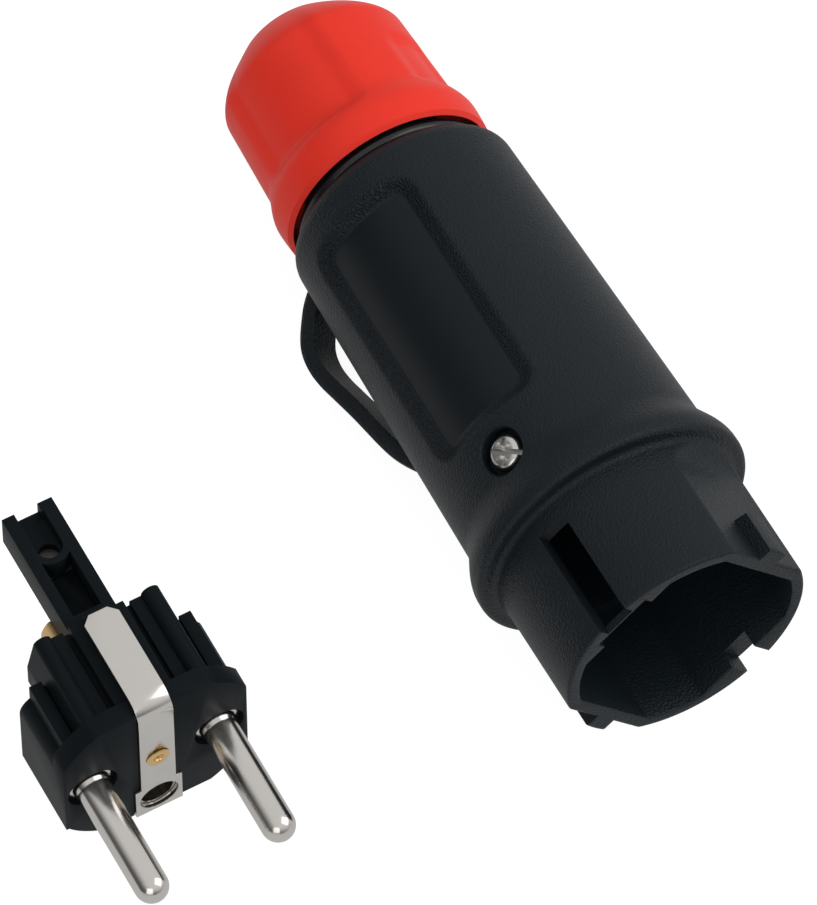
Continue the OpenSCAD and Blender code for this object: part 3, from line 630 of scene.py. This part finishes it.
def nutRadius(x, s=nutSpec):
    behind = x - s["front"]
    waist, dome = s["waistLen"], s["len"] - s["domeLen"]
    if behind < s["lipLen"]:
        return s["lipR"] + (s["creaseR"] - s["lipR"]) * behind / s["lipLen"]
    if behind < s["beadLen"]:
        t = (behind - s["lipLen"]) / (s["beadLen"] - s["lipLen"])
        return s["creaseR"] + (s["skirtR"] - s["creaseR"]) * math.sin(math.pi / 2 * t)
    if behind < waist:
        t = (behind - s["beadLen"]) / (waist - s["beadLen"])
        return s["barrelR"] + (s["skirtR"] - s["barrelR"]) * (1 + math.cos(math.pi * t)) / 2
    if behind < dome:
        return s["barrelR"] + (s["barrelRearR"] - s["barrelR"]) * (behind - waist) / (dome - waist)
    t = (behind - dome) / s["domeLen"]
    return s["endR"] + (s["barrelRearR"] - s["endR"]) * (1 - t ** s["domePower"])


def gripSink(x, angle, s=nutSpec):  # depth of the grips below the round skin
    deepest = 0
    for middle in (0, 90, 180, 270):
        halfAngle, front, rear, depth = s["narrowGrip" if middle % 180 else "broadGrip"]
        away = (angle - middle + 180) % 360 - 180
        along = (x - (front + rear) / 2) * s["endSteeper"]
        halfLength = (rear - front) / 2 * s["endSteeper"]
        halfArc = math.radians(halfAngle) * s["barrelRearR"]
        arcLength = math.radians(away) * s["barrelRearR"]
        inside = -roundRectDistance(along, arcLength, halfLength, halfArc, s["corner"])
        deepest = max(deepest, depth * smoothStep(inside / s["wall"]))
    inDome = (x - s["front"] - s["len"] + s["domeLen"]) / s["domeLen"]
    return deepest * (1 - max(0, inDome))


def buildCapNut(s=nutSpec):
    rear, front = s["front"] + s["len"], s["front"] + s["frontGap"]

    def ring(x, radius):
        return stationRing(x, radius, s["angles"], s["turn"])

    def skin(x):
        return lambda a: nutRadius(x) - gripSink(x, a)

    stations = [front + offset for offset in s["lipStations"]]
    count = int((s["len"] - s["skinFrom"] - s["crown"]) / s["skinStep"])
    stations += [s["front"] + s["skinFrom"] + s["skinStep"] * i for i in range(count)]
    stations += [rear - s["crown"] * (1 - i / s["crownSteps"]) for i in range(s["crownSteps"] + 1)]
    rings = [ring(x, skin(x)) for x in stations]
    rings += [ring(rear - back, s["cordR"] + out) for back, out in s["endEdge"]]
    rings += [ring(s["shoulder"], r) for r in (s["cordR"], s["boreR"])]
    x = s["shoulder"] - s["threadStart"]
    while x > s["skirtBoreEnd"] + s["threadStop"]:
        rings.append(ring(x, lambda a, x=x: s["boreR"] + s["threadDepth"]
                          * (1 - abs(2 * ((x / s["lead"] - a / 360) % 1) - 1))))
        x -= s["threadStep"]
    rings += [ring(s["skirtBoreEnd"], r) for r in (s["boreR"] + 0.3, s["skirtBoreR"])]
    rings += [ring(s["front"] + behind, s["skirtBoreR"] + out) for behind, out in s["skirtEdge"]]
    nut = ringSolid("cap_nut_skin", rings, housingPlace)
    settle(nut, nutBody, "cap_red", ("cap_nut",), sharpAngle=40)


buildCapNut()
print("cap nut built")


# Threads by Geometry Nodes: a helix swept with a small round, on the neck and the fixing screw
threadSpec = {
    "neck": {"radius": 10.32, "ridge": 0.46, "pitch": 1.5, "from": 85.2, "to": 97.2},
    "screw": {"radius": 1.18, "ridge": 0.24, "pitch": 0.5, "from": 3.95, "to": 15.2}}


def threadTree():
    tree = bpy.data.node_groups.new("helixThread", "GeometryNodeTree")
    for label, kind in (("Radius", "NodeSocketFloat"), ("Ridge", "NodeSocketFloat"),
                        ("Turns", "NodeSocketFloat"), ("Length", "NodeSocketFloat"),
                        ("Material", "NodeSocketMaterial")):
        tree.interface.new_socket(label, in_out="INPUT", socket_type=kind)
    tree.interface.new_socket("Geometry", in_out="OUTPUT", socket_type="NodeSocketGeometry")
    n, link = tree.nodes, tree.links.new
    given, result = n.new("NodeGroupInput"), n.new("NodeGroupOutput")
    helix = n.new("GeometryNodeCurveSpiral")
    helix.inputs["Resolution"].default_value = 48
    link(given.outputs["Radius"], helix.inputs["Start Radius"])
    link(given.outputs["Radius"], helix.inputs["End Radius"])
    link(given.outputs["Turns"], helix.inputs["Rotations"])
    link(given.outputs["Length"], helix.inputs["Height"])
    section = n.new("GeometryNodeCurvePrimitiveCircle")
    section.inputs["Resolution"].default_value = 8
    link(given.outputs["Ridge"], section.inputs["Radius"])
    sweep = n.new("GeometryNodeCurveToMesh")
    sweep.inputs["Fill Caps"].default_value = True
    link(helix.outputs["Curve"], sweep.inputs["Curve"])
    link(section.outputs["Curve"], sweep.inputs["Profile Curve"])
    real = n.new("GeometryNodeRealizeInstances")
    finish = n.new("GeometryNodeSetMaterial")
    link(sweep.outputs[0], real.inputs[0])
    link(real.outputs[0], finish.inputs["Geometry"])
    link(given.outputs["Material"], finish.inputs["Material"])
    link(finish.outputs[0], result.inputs[0])
    return tree


helixThread = threadTree()


def threadPiece(name, spec, place, slot):
    piece = bpy.data.objects.new(name, bpy.data.meshes.new(name))
    bpy.context.scene.collection.objects.link(piece)
    modifier = piece.modifiers.new("thread", "NODES")
    modifier.node_group = helixThread
    length = spec["to"] - spec["from"]
    values = {"Radius": spec["radius"] * mm, "Ridge": spec["ridge"] * mm, "Turns": length / spec["pitch"],
              "Length": length * mm, "Material": looks[slot]}
    for socket in helixThread.interface.items_tree:
        if socket.in_out == "INPUT":
            modifier[socket.identifier] = values[socket.name]
    bake(piece)
    piece.data.transform(place)
    facesOut(piece)
    return settle(piece, mainBody, slot, sharpAngle=60)


neckFoot = housingPlace @ Matrix.Translation((-threadSpec["neck"]["to"] * mm, 0, 0))
neckFoot = neckFoot @ Matrix.Rotation(math.pi / 2, 4, "Y")
threadPiece("neck_thread", threadSpec["neck"], neckFoot, "housing_rubber")
screwStart = Vector((-housingSpec["screwX"], 0, threadSpec["screw"]["from"])) * mm
screwFoot = housingPlace @ Matrix.Translation(screwStart)
threadPiece("screw_thread", threadSpec["screw"], screwFoot, "screw_steel")
print("threads built")


# Insert
tailSpec = {"end": 36.7, "wall": 1.6, "halfW": 1.9, "floor": 7.6, "screwX": 30.3,
            "openTop": 12, "sideInset": 0.3, "nutHalf": 2.75, "nutLow": 4.0, "nutHigh": 6.2, "nutBoreR": 0.8}


def buildTail(s=tailSpec):  # pocket open to the rear, and the nut with its bore
    carrier = softened("insert_carrier", 0.22, "insert_plastic")
    opening = boxMesh("cutTail", (-s["end"] - 1, -s["halfW"], s["floor"]),
                      (-s["end"] + s["wall"], s["halfW"] - s["sideInset"], s["openTop"]), insertPlace)
    cutWith(carrier, [opening])
    half = s["nutHalf"]
    nut = boxMesh("tail_nut_drilled", (-s["screwX"] - half, -half, s["nutLow"]),
                  (half - s["screwX"], half, s["nutHigh"]), insertPlace)
    upright = insertPlace @ Matrix.Translation((-s["screwX"] * mm, 0, 0))
    upright = upright @ Matrix.Rotation(-math.pi / 2, 4, "Y")
    cutWith(nut, [lathe("cutNut", [(0, s["nutBoreR"]), (s["openTop"], s["nutBoreR"])], upright)])
    settle(nut, mainBody, "screw_steel", ("tail_nut",))
    dress(nut, looks["dull_steel"])


buildTail()
softened("earth_strip", 0.14, "nickel")
for node in ("terminal_left", "terminal_right"):
    softened(node, 0.2, "brass")

earthSpec = {"soft": 0.3, "roundR": 4.3, "cutHalf": 9}


def buildEarthTerminal(s=earthSpec):  # the block turned round about the wire's axis
    block = softened("earth_terminal", s["soft"], "brass")
    corners = [block.matrix_world @ v.co for v in block.data.vertices]
    middle = [(min(c[i] for c in corners) + max(c[i] for c in corners)) / 2 for i in range(3)]
    profile = [(-s["cutHalf"], s["roundR"]), (s["cutHalf"], s["roundR"])]
    cutWith(block, [lathe("cutRound", profile, Matrix.Translation(middle))], "INTERSECT")


buildEarthTerminal()

screwSpec = {"shankR": 1.18, "headR": 2.6, "headH": 1.9, "len": 12.0, "turn": -42.0, "depth": 1.0,
             "slotW": 0.7, "arms": ((5.4, 0), (3.7, 90), (3.0, 45), (3.0, 135)),
             "rimShare": 0.35, "crownIn": 1.15, "tipLen": 0.8, "edge": 0.1}


def buildScrew(s=screwSpec):
    seatZ = bodyRadius(housingSpec["screwX"]) - housingSpec["seatDepth"]
    place = standing(-housingSpec["screwX"], 0)
    domeShare = 1 - s["rimShare"]
    crown = [(seatZ + s["headH"] * (s["rimShare"] + domeShare * math.sin(math.radians(a))),
              s["headR"] - s["crownIn"] * (1 - math.cos(math.radians(a)))) for a in range(0, 91, 10)]
    point = seatZ - s["len"]
    shank = [(point, s["shankR"] * 0.5), (point + s["tipLen"], s["shankR"]), (seatZ, s["shankR"]),
             (seatZ, s["headR"] - s["edge"]), (seatZ + s["edge"], s["headR"])]
    head = lathe("screw_head", shank + crown, place, 72)
    top = seatZ + s["headH"]
    cutters = []
    for i, (length, angle) in enumerate(s["arms"]):
        turned = place @ Matrix.Rotation(math.radians(angle + s["turn"]), 4, "X")
        cutters.append(boxMesh("cutArm%d" % i, (top - s["depth"], -length / 2, -s["slotW"] / 2),
                               (top + 1, length / 2, s["slotW"] / 2), turned))
    cutWith(head, cutters)
    settle(head, mainBody, "screw_steel", ("housing_screw",), sharpAngle=30)


buildScrew()

# root: distance from the face, and how far the radius is above the pin's
pinSpec = {"r": 2.4, "len": 19.0, "collarR": 3.1, "collarRear": -1.0, "collarFront": -0.75,
           "shankR": 1.9, "shankEnd": 9.3,
           "root": ((-0.7, 0.3), (-0.1, 0.24), (0.2, 0.05), (0.5, 0)), "stations": (4, 8, 12)}


def buildPin(name, side, s=pinSpec):
    place = insertPlace @ Matrix.Translation((0, side * abs(pinRight.y - pinLeft.y) / 2, 0))
    profile = [(-s["shankEnd"], s["shankR"]), (s["collarRear"], s["shankR"]),
               (s["collarRear"], s["collarR"]), (s["collarFront"], s["collarR"])]
    profile += [(x, s["r"] + above) for x, above in s["root"]]
    tip = s["len"] - s["r"]
    profile += [(x, s["r"]) for x in (*s["stations"], tip)]
    profile += [(tip + s["r"] * math.sin(math.radians(a)), s["r"] * math.cos(math.radians(a)))
                for a in (8, 16, 24, 32, 40, 48, 56, 64, 72, 80, 87)]
    settle(lathe(name + "_turned", profile, place), mainBody, "nickel", (name,), sharpAngle=40)


buildPin("pin_left", -1)
buildPin("pin_right", 1)

rivetSpec = {"z": 1.0, "headR": 1.75, "boreR": 0.62, "front": 0.5, "thick": 0.38, "shankR": 1.2,
             "end": 18.7}


def buildRivet(s=rivetSpec):  # rolled eyelet head with a hollow middle
    place = insertPlace @ Matrix.Translation((0, 0, s["z"] * mm))
    top = s["front"] + s["thick"]
    under = s["front"] - 0.02
    profile = [(-s["end"], s["shankR"]), (under, s["shankR"]), (under, s["headR"] - 0.1),
               (s["front"] + 0.12, s["headR"]), (top - 0.08, s["headR"] - 0.22), (top, s["headR"] - 0.55),
               (top - 0.06, s["boreR"] + 0.15), (top - 0.3, s["boreR"]), (top - 1.2, s["boreR"] * 0.8)]
    settle(lathe("rivet_eyelet", profile, place), mainBody, "brass", ("earth_rivet",), sharpAngle=60)


buildRivet()

for node, solid in nodes.items():
    slot = next(p["material_slot"] for p in frame["record"]["subparts"] if p["node"] == node)
    dress(solid, looks[slot])
print("insert built")


# Stage: white floor, soft lights, and a long lens from the photograph's side
floorSpec = {"half": 3.0, "color": (0.9, 0.9, 0.9), "roughness": 0.9, "shadowShare": 0.22,
             "glow": 0.6, "seenGlow": 0.6}


def buildFloor(s=floorSpec):
    h = s["half"]
    mesh = bpy.data.meshes.new("floor")
    mesh.from_pydata([(-h, -h, 0), (h, -h, 0), (h, h, 0), (-h, h, 0)], [], [(0, 1, 2, 3)])
    floor = bpy.data.objects.new("floor", mesh)
    bpy.context.scene.collection.objects.link(floor)
    material = bpy.data.materials.new("paleFloor")
    material.use_nodes = True
    tree = material.node_tree
    n, link = tree.nodes, tree.links.new
    shader, output = n["Principled BSDF"], n["Material Output"]
    shader.inputs["Base Color"].default_value = (*s["color"], 1)
    shader.inputs["Roughness"].default_value = s["roughness"]
    white = n.new("ShaderNodeEmission")
    path = n.new("ShaderNodeLightPath")
    cameraRay = path.outputs["Is Camera Ray"]
    strength = mathNode(tree, "MULTIPLY_ADD", cameraRay, s["seenGlow"], s["glow"])
    link(strength, white.inputs["Strength"])
    seen = mathNode(tree, "MAXIMUM", cameraRay, path.outputs["Is Glossy Ray"])
    seenToo = mathNode(tree, "MAXIMUM", seen, path.outputs["Is Transmission Ray"])
    share = mathNode(tree, "MULTIPLY", seenToo, 1 - s["shadowShare"])
    mix = n.new("ShaderNodeMixShader")
    link(share, mix.inputs[0])
    link(shader.outputs[0], mix.inputs[1])
    link(white.outputs[0], mix.inputs[2])
    link(mix.outputs[0], output.inputs["Surface"])
    mesh.materials.append(material)


cameraSpec = {"right": (0.4768, 0.8790, 0.0), "up": (-0.7685, 0.4169, 0.4854),
              "back": (0.4267, -0.2314, 0.8743), "fromMouth": (0.58331, -0.3584, 1.28296), "lens": 482.0}


def buildCamera(s=cameraSpec):
    data = bpy.data.cameras.new("photoCamera")
    data.sensor_fit = "HORIZONTAL"
    data.sensor_width = 36
    data.lens = s["lens"]
    data.clip_start, data.clip_end = 0.05, 20
    camera = bpy.data.objects.new("photoCamera", data)
    bpy.context.scene.collection.objects.link(camera)
    turned = Matrix((s["right"], s["up"], s["back"])).transposed().to_4x4()
    turned.translation = mouthPoint + Vector(s["fromMouth"])
    camera.matrix_world = turned
    bpy.context.scene.camera = camera


lampSpec = {
    "key": {"from": (0.35, 0.75, 0.85), "size": 0.9, "power": 4.1},
    "front": {"from": (0.9, -0.7, 0.5), "size": 0.8, "power": 2.4}}
skySpec = {"lean": 0.4, "low": -0.1, "high": 0.75, "dark": 0.1, "bright": 0.76}


def buildSky(s=skySpec):  # bright overhead, dark towards the near horizon
    sky = bpy.data.worlds.new("studio")
    bpy.context.scene.world = sky
    sky.use_nodes = True
    n, link = sky.node_tree.nodes, sky.node_tree.links.new
    coords = n.new("ShaderNodeTexCoord")
    split = n.new("ShaderNodeSeparateXYZ")
    link(coords.outputs["Generated"], split.inputs[0])
    height = mathNode(sky.node_tree, "MULTIPLY_ADD", split.outputs["Y"], s["lean"], split.outputs["Z"])
    spread = n.new("ShaderNodeMapRange")
    spread.interpolation_type = "SMOOTHSTEP"
    for label, key in (("From Min", "low"), ("From Max", "high"), ("To Min", "dark"), ("To Max", "bright")):
        spread.inputs[label].default_value = s[key]
    link(height, spread.inputs["Value"])
    link(spread.outputs["Result"], n["Background"].inputs["Strength"])
    n["Background"].inputs["Color"].default_value = (1, 1, 1, 1)


def buildLights():
    for name, s in lampSpec.items():
        data = bpy.data.lights.new(name, "AREA")
        data.size = s["size"]
        data.energy = s["power"]
        lamp = bpy.data.objects.new(name, data)
        bpy.context.scene.collection.objects.link(lamp)
        lamp.location = s["from"]
        lamp.rotation_euler = (-Vector(s["from"])).to_track_quat("-Z", "Y").to_euler()


buildFloor()
buildCamera()
buildLights()
buildSky()
bpy.context.scene.view_settings.view_transform = "Standard"
print("stage built")
